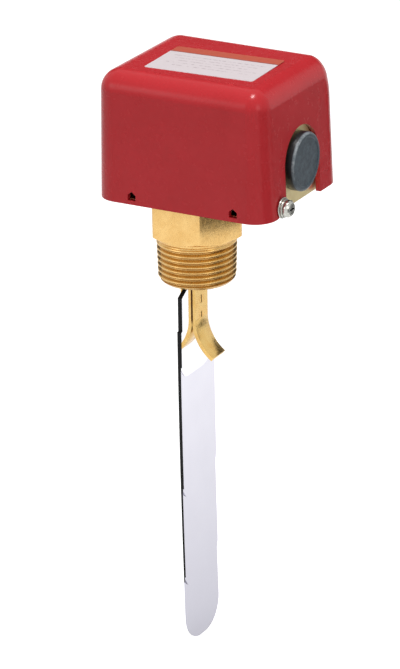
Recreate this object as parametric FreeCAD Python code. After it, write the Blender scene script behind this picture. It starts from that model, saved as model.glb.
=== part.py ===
import FreeCAD, Part
import math
import os

# Paddle flow switch, millimetres. The origin is on the pipe thread's axis, at the shoulder
# between thread and hexagon. +Z points up into the cover, +X towards the conduit entry.

V = FreeCAD.Vector
X_DIR = V(1, 0, 0)
Y_DIR = V(0, 1, 0)
Z_DIR = V(0, 0, 1)

# Fits
running_gap = 0.05          # radial, a part that turns or slides in another
screw_gap = 0.03            # radial, a screw in its tapped hole
seat_gap = 0.3              # between parts that move against each other
sheet_thickness = 1.5       # base plate, mechanism frame and switch bracket

# Brass body: one inch pipe thread below a hexagon
pipe_radius = 16.62
pipe_length = 19.5
pipe_chamfer = 1.4
hex_flats = 36.0
hex_height = 20.5
hex_face_inset = 0.4        # the turned face stops this far inside the flats
hex_chamfer_angle = 30.0
bore_radius = 11.5
counterbore_radius = 13.2
counterbore_depth = 2.6
body_screw_circle = 15.6
body_screw_radius = 1.5
body_screw_depth = 9.0

# Moulded cover
cover_height = 53.2
cover_wall = 2.2
cover_draft = 0.95          # how far each wall leans in from bottom to top
cover_corner_radius = 9.4
cover_edge_radius = 8.6
window_width = 3.6
window_side_height = 2.4      # below the gable
window_gable_height = 1.4
window_pitch = 45.4
window_centre_x = 11.5
window_sill = 1.6           # above the cover's bottom edge
notch_radius = 14.6
screw_step_width = 6.8      # the notch widens beside its foot for the cover screw
screw_step_height = 6.8
screw_step_round = 2.0
label_length = 48.0
label_width = 27.0
label_thickness = 0.15
label_corner = 1.0

# Base plate
plate_gap = 1.0             # to the cover's inner walls
plate_far_room = 2.2        # from the mechanism frame to the far end wall
plate_entry_room = 10.8     # from the switch to the entry wall, for the cable
plate_side_room = 0.6       # outside the switch bracket's feet
plate_corner_radius = 6.0
entry_wall_height = 34.0
entry_wall_width = 49.0
back_wall_height = 11.0
back_wall_width = 46.0
plate_bend_radius = 1.0
lever_hole_radius = 9.0
side_tab_width = 14.0
side_tab_height = 7.0
side_tab_x = 1.0

# Blind rubber grommet in the conduit entry
entry_height = 17.3         # above the base plate's underside
grommet_radius = 12.0
grommet_neck_radius = 10.8
grommet_flange = 4.6
grommet_back_radius = 12.4
grommet_back_thickness = 1.5
grommet_edge_round = 1.0
grommet_rim_width = 1.9
grommet_recess_depth = 0.3
grommet_pocket_radius = 8.6
grommet_pocket_depth = 4.0

# Cover screws, M4 with a plain and a spring washer
cover_screw_y = 19.0        # to the front at the entry end, to the rear at the other
cover_screw_rise = 3.9
cover_screw_radius = 2.0
cover_screw_head_radius = 3.5
cover_screw_head_height = 2.6
cover_screw_reach = 1.4     # past the base plate's wall
plain_washer_radius = 4.3
plain_washer_thickness = 0.8
spring_washer_radius = 3.8
spring_washer_thickness = 1.0
spring_washer_gap = 0.8
washer_hole_gap = 0.15
cover_slot_gap = 0.35

# Lever and pivot
pivot_height = 30.0
pin_radius = 2.0
head_length = 10.0
head_width = 14.0
head_height = 11.0
stem_radius = 3.0
stem_socket_depth = 2.6
block_top = -6.0
block_bottom = -14.0
tongue_thickness = 1.6
tongue_width = 10.5
tongue_end = -40.0
tongue_end_round = 2.5
cap_height = 1.0            # the bellows cap's lower face
cap_thickness = 1.2
cap_radius = 8.5

# Paddle: a stack of spring leaves clamped between two flared brass wings
leaf_thickness = 0.45
leaf_gap = 0.06             # the leaves' natural waviness keeps them just apart
leaf_width = 28.5
leaf_waist_width = 26.8     # above the step beside the wings' flare
leaf_waist_end = -38.6
leaf_front_x = 0.1          # front face of the shortest leaf
leaf_top = -19.9
leaf_top_width = 12.0
leaf_shoulder_drop = 4.3
leaf_ends = (-59.0, -113.0, -153.0, -181.0)
leaf_near_round = 5.0       # lower corner on the front side
leaf_far_round = 12.5       # lower corner on the rear side
leaf_set_start = -36.3
leaf_set_radius = 4800.0    # the leaves have taken a slight set towards the flow
wing_thickness = 1.6
wing_top = -20.6
wing_straight_end = -36.3
wing_flare_radius = 20.0
wing_flare_angle = 55.5
back_wing_straight_end = -38.2
back_wing_flare_angle = 18.0
clamp_screw_heights = (-28.4, -35.6)
clamp_screw_radius = 1.0
clamp_head_radius = 1.75
clamp_hole_gap = 0.06
clamp_nut_flats = 4.0
clamp_nut_thickness = 1.6
clamp_screw_stand = 0.5
clamp_slot_width = 0.6
screw_slot_width = 0.7

# Bellows seal
bellows_outer = 8.5
bellows_inner = 6.3
bellows_wall = 0.3
bellows_folds = 4
bellows_flange = 0.3
gasket_thickness = 0.8
gasket_inner = 7.6
bellows_ring_gap = 0.1

# Mechanism frame over the pivot
frame_inner_width = 30.0
frame_front_x = 9.0
frame_top = 60.0
frame_foot = 7.5
tower_length = 14.0
frame_bend_radius = 1.0
pivot_ear_rise = 8.0
frame_screw_x = (-17.5, 4.5)
clip_thickness = 0.6
clip_radius = 3.6
pin_stand = 1.0
spacer_radius = 3.4
spacer_end_gap = 0.1
stop_gap = 0.05
stop_length = 3.0

# Crank plate on the lever head
crank_thickness = 2.0
crank_width = 12.0
crank_tab_x = 4.0
crank_tab_rise = 15.0
crank_bend_radius = 1.2
crank_screw_y = 3.6
crank_screw_x = -1.0
crank_screw_radius = 1.2
crank_screw_reach = 2.4
crank_head_radius = 2.1
crank_head_height = 1.3

# Range adjustment
range_x = -15.0
range_screw_radius = 2.5
range_screw_end = 41.0
range_head_radius = 4.4
range_head_height = 3.6
range_clip_radius = 4.2
range_clip_thickness = 1.0
range_nut_width = 12.0
range_nut_thickness = 4.0
range_nut_top = 57.0
range_travel = 4.0
range_tongue_width = 3.0
range_tongue_reach = 1.2    # past the frame's outer face
spring_mean_radius = 4.9
spring_wire_radius = 0.6
spring_turns = 5.5
spring_steps = 14           # straight runs in each turn
spring_seat_gap = 0.1

# Snap switch on its bracket
switch_arm = 16.5           # plunger axis above the pivot
switch_face_x = 9.0
switch_length = 49.2
switch_thickness = 17.5
switch_case_depth = 20.4
switch_base_depth = 3.8
switch_corner = 1.5
switch_hole_pitch = 25.4
switch_hole_x = 20.5
switch_hole_radius = 2.1
plunger_radius = 1.9
plunger_inside = 3.5
plunger_spare = 1.6
shelf_inset = 2.0           # shelf edges inside the switch's footprint
bracket_leg_inset = 1.6
bracket_foot = 6.2
switch_screw_radius = 1.9
switch_head_radius = 3.4
switch_head_height = 2.2
switch_screw_stand = 1.2
terminal_pitch = 17.0
terminal_width = 7.4
terminal_height = 11.0
terminal_thickness = 1.0
terminal_screw_radius = 1.75
terminal_head_radius = 3.0
terminal_head_height = 2.0
terminal_screw_depth = 3.0
barrier_width = 1.6
barrier_height = 3.4

# Sheet metal screws, M3, into the base plate
plate_screw_radius = 1.5
plate_screw_head_radius = 2.7
plate_screw_head_height = 1.8

# Earth terminal
earth_wall_distance = 7.2   # from the entry wall's inner face
earth_side_distance = 10.8  # from the base plate's rear edge
earth_screw_radius = 2.0
earth_head_radius = 3.8
earth_head_height = 2.4
earth_washer_radius = 4.6
earth_washer_thickness = 1.0

# Levels and planes that follow from the sizes above
floor_bottom = hex_height
floor_top = floor_bottom + sheet_thickness
cover_bottom = floor_bottom
cover_top = cover_bottom + cover_height
entry_z = floor_bottom + entry_height
cover_screw_z = floor_bottom + cover_screw_rise
leaf_pitch = leaf_thickness + leaf_gap
leaf_back_x = leaf_front_x - (len(leaf_ends) - 1) * leaf_pitch - leaf_thickness
tongue_front_x = leaf_back_x - leaf_gap
tongue_back_x = tongue_front_x - tongue_thickness
head_top = pivot_height + head_height / 2
crank_top = head_top + crank_thickness
frame_half = frame_inner_width / 2
frame_outer_half = frame_half + sheet_thickness
tower_min_x = range_x - tower_length / 2
tower_max_x = range_x + tower_length / 2
plunger_z = pivot_height + switch_arm
shelf_top = plunger_z - switch_thickness / 2
switch_base_x = switch_face_x + switch_case_depth
switch_back_x = switch_base_x + switch_base_depth
bracket_leg_y = switch_length / 2 - bracket_leg_inset
plate_min_x = tower_min_x - plate_far_room - sheet_thickness
plate_max_x = switch_back_x + plate_entry_room + sheet_thickness
plate_half_y = bracket_leg_y + bracket_foot + plate_side_room
cover_length = plate_max_x - plate_min_x + 2 * (plate_gap + cover_wall)
cover_width = 2 * (plate_half_y + plate_gap + cover_wall)
cover_centre_x = (plate_min_x + plate_max_x) / 2
earth_x = plate_max_x - sheet_thickness - earth_wall_distance
earth_y = plate_half_y - earth_side_distance
counterbore_floor = hex_height - counterbore_depth


# Building blocks

def cylinder(radius, length, start, direction=Z_DIR):
    return Part.makeCylinder(radius, length, start, direction)


def ring(outer, inner, length, start, direction=Z_DIR):
    return cylinder(outer, length, start, direction).cut(cylinder(inner, length, start, direction))


def block(x0, x1, y0, y1, z0, z1):
    return Part.makeBox(x1 - x0, y1 - y0, z1 - z0, V(x0, y0, z0))


def polygon_prism(points, push):
    return Part.Face(Part.makePolygon(points + [points[0]])).extrude(push)


def revolved(profile, centre, axis):
    """Turn a closed profile of (radius, distance along axis) pairs about an axis."""
    side = Z_DIR if abs(axis.x) > 0.5 else X_DIR
    points = [centre + side * r + axis * d for r, d in profile]
    face = Part.Face(Part.makePolygon(points + [points[0]]))
    return face.revolve(centre, axis, 360)


def rounded_rectangle(length, width, radius, centre):
    """Closed wire in a level plane, with tangent arcs at its corners."""
    a = length / 2
    b = width / 2
    q = radius * (1 - math.sqrt(0.5))
    edges = []
    for sx, sy in ((1, 1), (-1, 1), (-1, -1), (1, -1)):
        first = V(sx * a, sy * (b - radius), 0)
        second = V(sx * (a - radius), sy * b, 0)
        if sx * sy < 0:
            first, second = second, first
        middle = V(sx * (a - q), sy * (b - q), 0)
        edges.append(Part.Arc(centre + first, centre + middle, centre + second).toShape())
    joined = []
    for i, arc in enumerate(edges):
        following = edges[(i + 1) % 4]
        joined.append(arc)
        joined.append(Part.makeLine(arc.lastVertex().Point, following.firstVertex().Point))
    return Part.Wire(joined)


def rounded_plate(length, width, radius, centre, thickness):
    return Part.Face(rounded_rectangle(length, width, radius, centre)).extrude(Z_DIR * thickness)


def fillet_where(shape, radius, wanted):
    """Round the edges whose middle point and direction pass a test."""
    picked = []
    for edge in shape.Edges:
        middle = edge.valueAt((edge.FirstParameter + edge.LastParameter) / 2)
        along = edge.tangentAt((edge.FirstParameter + edge.LastParameter) / 2)
        if wanted(middle, along):
            picked.append(edge)
    return shape.makeFillet(radius, picked)


def mirrored(shape, point, normal):
    return shape.mirror(point, normal)


def hexagon(flats, height, start, direction=Z_DIR, corner=X_DIR):
    radius = flats / math.sqrt(3)
    side = direction.cross(corner)
    points = []
    for i in range(6):
        angle = math.radians(60 * i)
        points.append(start + corner * (radius * math.cos(angle)) + side * (radius * math.sin(angle)))
    return polygon_prism(points, direction * height)


def pan_screw(radius, head_radius, head_height, length, seat, outward, cross=True):
    """Domed head seated on a face, shank running inwards, slot or cross drive."""
    crown = head_height * 0.35
    profile = [(0, -length), (radius, -length), (radius, 0), (head_radius, 0),
               (head_radius, head_height - crown), (head_radius * 0.72, head_height), (0, head_height)]
    screw = revolved(profile, seat, outward)
    across = Z_DIR if abs(outward.z) < 0.5 else X_DIR
    other = outward.cross(across)
    drives = (across, other) if cross else (across,)
    reach = head_radius * (0.55 if cross else 1.2)
    depth = head_height * 0.55
    for line in drives:
        wide = outward.cross(line) * (screw_slot_width / 2)
        start = seat + outward * (head_height - depth)
        corners = [start + line * reach + wide, start - line * reach + wide,
                   start - line * reach - wide, start + line * reach - wide]
        screw = screw.cut(polygon_prism(corners, outward * (depth * 2)))
    return screw


def circle_points(radius, count, first_angle, z):
    points = []
    for i in range(count):
        angle = math.radians(first_angle + 360.0 * i / count)
        points.append(V(radius * math.cos(angle), radius * math.sin(angle), z))
    return points


def save(name, shapes):
    shape = Part.makeCompound(shapes) if isinstance(shapes, list) else shapes
    shape.exportStep("parts/" + name + ".step")


# Brass body and its seal

def brass_body():
    rim = hex_flats / math.sqrt(3) + 1.0
    face = hex_flats / 2 - hex_face_inset
    rise = (rim - face) * math.tan(math.radians(hex_chamfer_angle))
    turned = revolved([(0, 0), (face, 0), (rim, rise), (rim, hex_height - rise), (face, hex_height),
                       (0, hex_height)], V(0, 0, 0), Z_DIR)
    head = hexagon(hex_flats, hex_height, V(0, 0, 0)).common(turned)
    end = -pipe_length
    pipe = revolved([(0, end), (pipe_radius - pipe_chamfer, end), (pipe_radius, end + pipe_chamfer),
                     (pipe_radius, 0), (0, 0)], V(0, 0, 0), Z_DIR)
    body = head.fuse(pipe)
    body = body.cut(cylinder(bore_radius, pipe_length + hex_height, V(0, 0, end)))
    body = body.cut(cylinder(counterbore_radius, counterbore_depth, V(0, 0, counterbore_floor)))
    for top in circle_points(body_screw_circle, 4, 45, hex_height):
        body = body.cut(cylinder(body_screw_radius, body_screw_depth, top, -Z_DIR))
    return body.removeSplitter()


def body_screws():
    length = sheet_thickness + body_screw_depth - 1.0
    seats = circle_points(body_screw_circle, 4, 45, floor_top)
    return [pan_screw(body_screw_radius - screw_gap, plate_screw_head_radius, plate_screw_head_height,
                      length, seat, Z_DIR) for seat in seats]


def bellows():
    """Folded tube hanging from a flange that the gasket clamps in the counterbore."""
    foot = cap_height + cap_thickness
    step = (counterbore_floor - foot) / (2 * bellows_folds)
    outside = []
    for i in range(2 * bellows_folds + 1):
        radius = bellows_outer if i % 2 else bellows_inner
        outside.append((radius, counterbore_floor - i * step))
    inside = [(radius - bellows_wall, z) for radius, z in reversed(outside)]
    rim = counterbore_radius - bellows_ring_gap
    top = counterbore_floor + bellows_flange
    inside[-1] = (bellows_inner - bellows_wall, top)
    return revolved([(rim, top), (rim, counterbore_floor)] + outside + inside, V(0, 0, 0), Z_DIR)


def body_gasket():
    start = V(0, 0, counterbore_floor + bellows_flange)
    return ring(counterbore_radius - bellows_ring_gap, gasket_inner, gasket_thickness, start)


def bellows_ring():
    start = counterbore_floor + bellows_flange + gasket_thickness
    return ring(counterbore_radius - bellows_ring_gap, gasket_inner, hex_height - start, V(0, 0, start))


# Cover

def tapered_block(length, width, height, lean_x, lean_y, base):
    """Block whose side faces lean in evenly towards the top."""
    a = length / 2
    b = width / 2
    wedge = Part.makeWedge(-a, 0, -b, lean_y - b, lean_x - a, a, height, b, b - lean_y, a - lean_x)
    wedge.rotate(V(0, 0, 0), X_DIR, 90)
    wedge.translate(base)
    return wedge


def cover_form(inset, top, edge_radius):
    """Drafted box with conical corners and a rounded top edge."""
    height = top - cover_bottom
    lean = cover_draft * height / cover_height
    corner = cover_corner_radius - inset
    length = cover_length - 2 * inset
    width = cover_width - 2 * inset
    base = V(cover_centre_x, 0, cover_bottom)
    form = tapered_block(length, width - 2 * corner, height, lean, 0, base)
    form = form.fuse(tapered_block(length - 2 * corner, width, height, 0, lean, base))
    for sx in (-1, 1):
        for sy in (-1, 1):
            centre = base + V(sx * (length / 2 - corner), sy * (width / 2 - corner), 0)
            form = form.fuse(Part.makeCone(corner, corner - lean, height, centre))
    form = form.removeSplitter()
    return fillet_where(form, edge_radius, lambda middle, along: abs(middle.z - top) < 0.01)


def entry_notch():
    """Arched opening round the conduit entry, with a step for the cover screw."""
    x = cover_centre_x + cover_length / 2 + 1
    low = cover_bottom - 1
    step_y = -notch_radius - screw_step_width
    step_z = cover_bottom + screw_step_height
    r = screw_step_round
    q = r * (1 - math.sqrt(0.5))
    a = V(x, step_y, low)
    b = V(x, step_y, step_z - r)
    c = V(x, step_y + r, step_z)
    d = V(x, -notch_radius, step_z)
    e = V(x, -notch_radius, entry_z)
    f = V(x, notch_radius, entry_z)
    g = V(x, notch_radius, low)
    edges = [Part.makeLine(a, b),
             Part.Arc(b, V(x, step_y + q, step_z - q), c).toShape(),
             Part.makeLine(c, d),
             Part.makeLine(d, e),
             Part.Arc(e, V(x, 0, entry_z + notch_radius), f).toShape(),
             Part.makeLine(f, g),
             Part.makeLine(g, a)]
    return Part.Face(Part.Wire(edges)).extrude(V(-cover_wall - cover_draft - 2, 0, 0))


def screw_slot():
    """Slot at the far end, open at the cover's bottom edge."""
    radius = cover_screw_radius + cover_slot_gap
    x = cover_centre_x - cover_length / 2 - 1
    depth = cover_wall + cover_draft + 2
    slot = cylinder(radius, depth, V(x, cover_screw_y, cover_screw_z), X_DIR)
    return slot.fuse(block(x, x + depth, cover_screw_y - radius, cover_screw_y + radius,
                           cover_bottom - 1, cover_screw_z))


def cover_windows():
    """Two small gabled windows through the front wall and two through the rear wall."""
    half = window_width / 2
    low = cover_bottom + window_sill
    eaves = low + window_side_height
    start = -cover_width / 2 - 1
    tools = []
    for side in (-1, 1):
        x = window_centre_x + side * window_pitch / 2
        outline = [V(x - half, start, low), V(x + half, start, low), V(x + half, start, eaves),
                   V(x, start, eaves + window_gable_height), V(x - half, start, eaves)]
        tools.append(polygon_prism(outline, V(0, cover_width + 2, 0)))
    return tools


def cover():
    outside = cover_form(0, cover_top, cover_edge_radius)
    inside = cover_form(cover_wall, cover_top - cover_wall, cover_edge_radius - cover_wall)
    shell = outside.cut(inside)
    for tool in [entry_notch(), screw_slot()] + cover_windows():
        shell = shell.cut(tool)
    return shell


def rating_label():
    centre = V(cover_centre_x, 0, cover_top)
    return rounded_plate(label_length, label_width, label_corner, centre, label_thickness)


# Base plate and what is fixed to it

def frame_screw_points():
    y = frame_outer_half + frame_foot / 2
    return [V(x, side * y, floor_top) for x in frame_screw_x for side in (-1, 1)]


def bracket_screw_points():
    x = switch_face_x + switch_case_depth / 2 + 1
    y = bracket_leg_y + bracket_foot / 2
    return [V(x, side * y, floor_top) for side in (-1, 1)]


def end_wall(x, outward, height, width):
    x0, x1 = sorted((x, x - outward * sheet_thickness))
    wall = block(x0, x1, -width / 2, width / 2, floor_bottom, floor_bottom + height)
    top = floor_bottom + height
    return fillet_where(wall, 4.0, lambda middle, along: abs(along.x) > 0.9 and abs(middle.z - top) < 0.01)


def base_plate():
    centre = V((plate_min_x + plate_max_x) / 2, 0, floor_bottom)
    plate = rounded_plate(plate_max_x - plate_min_x, 2 * plate_half_y, plate_corner_radius, centre,
                          sheet_thickness)
    plate = plate.fuse(end_wall(plate_max_x, 1, entry_wall_height, entry_wall_width))
    plate = plate.fuse(end_wall(plate_min_x, -1, back_wall_height, back_wall_width))
    for side in (-1, 1):
        y0, y1 = sorted((side * plate_half_y, side * (plate_half_y - sheet_thickness)))
        tab = block(side_tab_x - side_tab_width / 2, side_tab_x + side_tab_width / 2, y0, y1,
                    floor_bottom, floor_bottom + side_tab_height)
        plate = plate.fuse(tab)
    plate = plate.removeSplitter()
    inner_x = (plate_min_x + sheet_thickness, plate_max_x - sheet_thickness)
    plate = fillet_where(plate, plate_bend_radius,
                         lambda middle, along: abs(middle.z - floor_top) < 0.01 and abs(along.y) > 0.9
                         and min(abs(middle.x - x) for x in inner_x) < 0.01)
    cuts = [cylinder(lever_hole_radius, sheet_thickness, V(0, 0, floor_bottom)),
            cylinder(grommet_neck_radius + running_gap, sheet_thickness,
                     V(plate_max_x, 0, entry_z), -X_DIR),
            cylinder(cover_screw_radius, sheet_thickness + plate_bend_radius,
                     V(plate_max_x, -cover_screw_y, cover_screw_z), -X_DIR),
            cylinder(cover_screw_radius, sheet_thickness + plate_bend_radius,
                     V(plate_min_x, cover_screw_y, cover_screw_z), X_DIR),
            cylinder(earth_screw_radius, sheet_thickness, V(earth_x, earth_y, floor_bottom))]
    for point in circle_points(body_screw_circle, 4, 45, floor_bottom):
        cuts.append(cylinder(body_screw_radius + running_gap, sheet_thickness, point))
    for point in frame_screw_points() + bracket_screw_points():
        cuts.append(cylinder(plate_screw_radius, sheet_thickness, point, -Z_DIR))
    for tool in cuts:
        plate = plate.cut(tool)
    return plate


def conduit_grommet():
    """Moulded blind grommet: outer flange, neck through the wall, inner bead, sealed middle."""
    face = grommet_flange
    back = -sheet_thickness - grommet_back_thickness
    e = grommet_edge_round
    r_recess = grommet_radius - grommet_rim_width
    profile = [(0, face - grommet_recess_depth), (r_recess - grommet_recess_depth, face - grommet_recess_depth),
               (r_recess, face),
               (grommet_radius - e, face), (grommet_radius - 0.3 * e, face - 0.3 * e),
               (grommet_radius, face - e), (grommet_radius, 0), (grommet_neck_radius, 0),
               (grommet_neck_radius, -sheet_thickness), (grommet_back_radius, -sheet_thickness),
               (grommet_back_radius - 0.4, back), (grommet_pocket_radius, back),
               (grommet_pocket_radius, back + grommet_pocket_depth), (0, back + grommet_pocket_depth)]
    return revolved(profile, V(plate_max_x, 0, entry_z), X_DIR)


def cover_screw_places():
    """Seat of each washer on the cover's end walls, with the outward direction."""
    half = cover_length / 2 + running_gap
    return ((V(cover_centre_x + half, -cover_screw_y, cover_screw_z), X_DIR, plate_max_x),
            (V(cover_centre_x - half, cover_screw_y, cover_screw_z), -X_DIR, plate_min_x))


def cover_screws():
    screws = []
    for seat, outward, wall_x in cover_screw_places():
        stack = plain_washer_thickness + spring_washer_thickness
        length = stack + abs(seat.x - wall_x) + sheet_thickness + cover_screw_reach
        screws.append(pan_screw(cover_screw_radius - screw_gap, cover_screw_head_radius,
                                cover_screw_head_height, length, seat + outward * stack, outward))
    return screws


def plain_washers():
    hole = cover_screw_radius + washer_hole_gap
    return [ring(plain_washer_radius, hole, plain_washer_thickness, seat, outward)
            for seat, outward, wall_x in cover_screw_places()]


def spring_washers():
    washers = []
    for seat, outward, wall_x in cover_screw_places():
        start = seat + outward * plain_washer_thickness
        washer = ring(spring_washer_radius, cover_screw_radius + washer_hole_gap,
                      spring_washer_thickness, start, outward)
        x0, x1 = sorted((start.x, start.x + outward.x * spring_washer_thickness))
        split = block(x0, x1, start.y, start.y + spring_washer_radius + 1,
                      start.z - spring_washer_gap / 2, start.z + spring_washer_gap / 2)
        washers.append(washer.cut(split))
    return washers


def earth_screw():
    seat = V(earth_x, earth_y, floor_top + earth_washer_thickness)
    length = earth_washer_thickness + sheet_thickness
    return pan_screw(earth_screw_radius - screw_gap, earth_head_radius, earth_head_height, length, seat, Z_DIR)


def earth_washer():
    washer = ring(earth_washer_radius, earth_screw_radius + washer_hole_gap, earth_washer_thickness,
                  V(earth_x, earth_y, floor_top))
    return washer


# Mechanism frame and pivot

def mechanism_frame():
    """Folded strap: two legs with outward feet, joined by a bridge that carries the range screw."""
    top = frame_top + sheet_thickness
    ear_top = pivot_height + pivot_ear_rise
    outline = [V(tower_min_x, 0, floor_top), V(frame_front_x, 0, floor_top),
               V(frame_front_x, 0, pivot_height + 3), V(4, 0, ear_top), V(-4, 0, ear_top),
               V(tower_max_x, 0, ear_top + 8), V(tower_max_x, 0, top), V(tower_min_x, 0, top)]
    frame = None
    for side in (-1, 1):
        y0 = min(side * frame_half, side * frame_outer_half)
        leg = polygon_prism([p + V(0, y0, 0) for p in outline], V(0, sheet_thickness, 0))
        f0, f1 = sorted((side * frame_half, side * (frame_outer_half + frame_foot)))
        foot = block(tower_min_x, frame_front_x, f0, f1, floor_top, floor_top + sheet_thickness)
        foot = fillet_where(foot, 2.0, lambda middle, along: abs(along.z) > 0.9
                            and abs(middle.y) > frame_outer_half + 1)
        leg = leg.fuse(foot)
        frame = leg if frame is None else frame.fuse(leg)
    bridge = block(tower_min_x, tower_max_x, -frame_half, frame_half, frame_top, top)
    frame = frame.fuse(bridge).removeSplitter()
    frame = fillet_where(frame, frame_bend_radius + sheet_thickness,
                         lambda middle, along: abs(middle.z - top) < 0.01 and abs(along.x) > 0.9)
    frame = fillet_where(frame, frame_bend_radius,
                         lambda middle, along: abs(middle.z - frame_top) < 0.01 and abs(along.x) > 0.9)
    frame = frame.fuse(rest_stop())
    cuts = [cylinder(pin_radius + running_gap, 2 * frame_outer_half, V(0, -frame_outer_half, pivot_height),
                     Y_DIR),
            cylinder(range_screw_radius + running_gap, sheet_thickness, V(range_x, 0, frame_top)),
            nut_slot()]
    for point in frame_screw_points():
        cuts.append(cylinder(plate_screw_radius + running_gap, sheet_thickness, point))
    for tool in cuts:
        frame = frame.cut(tool)
    return frame


def rest_stop():
    """Tab folded in from a leg, under the crank plate's free end."""
    stop_top = head_top - stop_gap
    x1 = range_x - crank_width / 2 + stop_length
    return block(x1 - stop_length, x1, crank_width / 2 - 2.0, frame_half + running_gap,
                 stop_top - sheet_thickness, stop_top)


def nut_slot():
    half = range_tongue_width / 2 + 0.1
    low = range_nut_top - range_nut_thickness - range_travel - 0.5
    high = range_nut_top + 0.5
    return block(range_x - half, range_x + half, frame_half - 1, frame_outer_half + 1, low, high)


def frame_screws():
    return [pan_screw(plate_screw_radius - screw_gap, plate_screw_head_radius, plate_screw_head_height,
                      2 * sheet_thickness, point + Z_DIR * sheet_thickness, Z_DIR)
            for point in frame_screw_points()]


def pivot_pin():
    half = frame_outer_half + running_gap + clip_thickness + pin_stand
    pin = cylinder(pin_radius, 2 * half, V(0, -half, pivot_height), Y_DIR)
    return pin.makeChamfer(0.3, [e for e in pin.Edges if e.Curve.TypeId == "Part::GeomCircle"])


def pivot_clips():
    clips = []
    for side in (-1, 1):
        start = side * (frame_outer_half + running_gap)
        clip = ring(clip_radius, pin_radius, clip_thickness, V(0, start, pivot_height), Y_DIR * side)
        y0, y1 = sorted((start, start + side * clip_thickness))
        mouth = block(-pin_radius * 0.8, pin_radius * 0.8, y0, y1, pivot_height - clip_radius - 1,
                      pivot_height)
        clips.append(clip.cut(mouth))
    return clips


def pivot_spacers():
    spacers = []
    for side in (-1, 1):
        start = side * (head_width / 2 + spacer_end_gap)
        length = frame_half - head_width / 2 - 2 * spacer_end_gap
        spacers.append(ring(spacer_radius, pin_radius + running_gap, length, V(0, start, pivot_height),
                            Y_DIR * side))
    return spacers


# Lever: head, stem, tongue, crank plate and bellows cap

def lever_head():
    low = pivot_height - head_height / 2
    head = block(-head_length / 2, head_length / 2, -head_width / 2, head_width / 2, low, head_top)
    head = fillet_where(head, 1.0, lambda middle, along: abs(along.z) > 0.9)
    head = head.cut(cylinder(pin_radius + running_gap, head_width, V(0, -head_width / 2, pivot_height), Y_DIR))
    head = head.cut(cylinder(stem_radius, stem_socket_depth, V(0, 0, low)))
    for side in (-1, 1):
        head = head.cut(cylinder(crank_screw_radius, crank_screw_reach + 0.3,
                                 V(crank_screw_x, side * crank_screw_y, head_top), -Z_DIR))
    return head


def lever_stem():
    """Round stem, a milled block below the bellows and the flat tongue that carries the paddle."""
    top = pivot_height - head_height / 2 + stem_socket_depth
    stem = cylinder(stem_radius, top - block_top, V(0, 0, block_top))
    half = tongue_width / 2
    shoulder = block(tongue_back_x, stem_radius, -half, half, block_bottom, block_top)
    tongue = block(tongue_back_x, tongue_front_x, -half, half, tongue_end, block_bottom)
    tongue = fillet_where(tongue, tongue_end_round,
                          lambda middle, along: abs(along.x) > 0.9 and abs(middle.z - tongue_end) < 0.01)
    lever = stem.fuse(shoulder).fuse(tongue).removeSplitter()
    for z in clamp_screw_heights:
        lever = lever.cut(cylinder(clamp_screw_radius + clamp_hole_gap, 2 * tongue_thickness,
                                   V(tongue_back_x - 1, 0, z), X_DIR))
    return lever


def bellows_cap():
    return ring(cap_radius, stem_radius, cap_thickness, V(0, 0, cap_height))


def crank_plate():
    """Bent strip screwed to the head: one arm under the range spring, one tab facing the switch."""
    x0 = range_x - crank_width / 2
    half = crank_width / 2
    arm = block(x0, crank_tab_x + crank_thickness, -half, half, head_top, crank_top)
    tab = block(crank_tab_x, crank_tab_x + crank_thickness, -half, half, head_top, head_top + crank_tab_rise)
    plate = arm.fuse(tab).removeSplitter()
    outer_x = crank_tab_x + crank_thickness
    plate = fillet_where(plate, crank_bend_radius + crank_thickness, lambda middle, along:
                         abs(middle.x - outer_x) < 0.01 and abs(middle.z - head_top) < 0.01
                         and abs(along.y) > 0.9)
    plate = fillet_where(plate, crank_bend_radius, lambda middle, along:
                         abs(middle.x - crank_tab_x) < 0.01 and abs(middle.z - crank_top) < 0.01
                         and abs(along.y) > 0.9)
    tab_top = head_top + crank_tab_rise
    plate = fillet_where(plate, 2.5, lambda middle, along: abs(along.x) > 0.9
                         and abs(middle.z - tab_top) < 0.01)
    for side in (-1, 1):
        plate = plate.cut(cylinder(crank_screw_radius + running_gap, crank_thickness,
                                   V(crank_screw_x, side * crank_screw_y, head_top)))
    return plate


def crank_screws():
    return [pan_screw(crank_screw_radius - screw_gap, crank_head_radius, crank_head_height,
                      crank_thickness + crank_screw_reach, V(crank_screw_x, side * crank_screw_y, crank_top),
                      Z_DIR) for side in (-1, 1)]


# Paddle

def clamp_holes(shape, x0, x1, radius):
    for z in clamp_screw_heights:
        shape = shape.cut(cylinder(radius, x1 - x0, V(x0, 0, z), X_DIR))
    return shape


def leaf_front(index):
    """Front face of one leaf, counted from the shortest, which lies against the upstream wing."""
    return leaf_front_x - index * leaf_pitch


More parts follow.
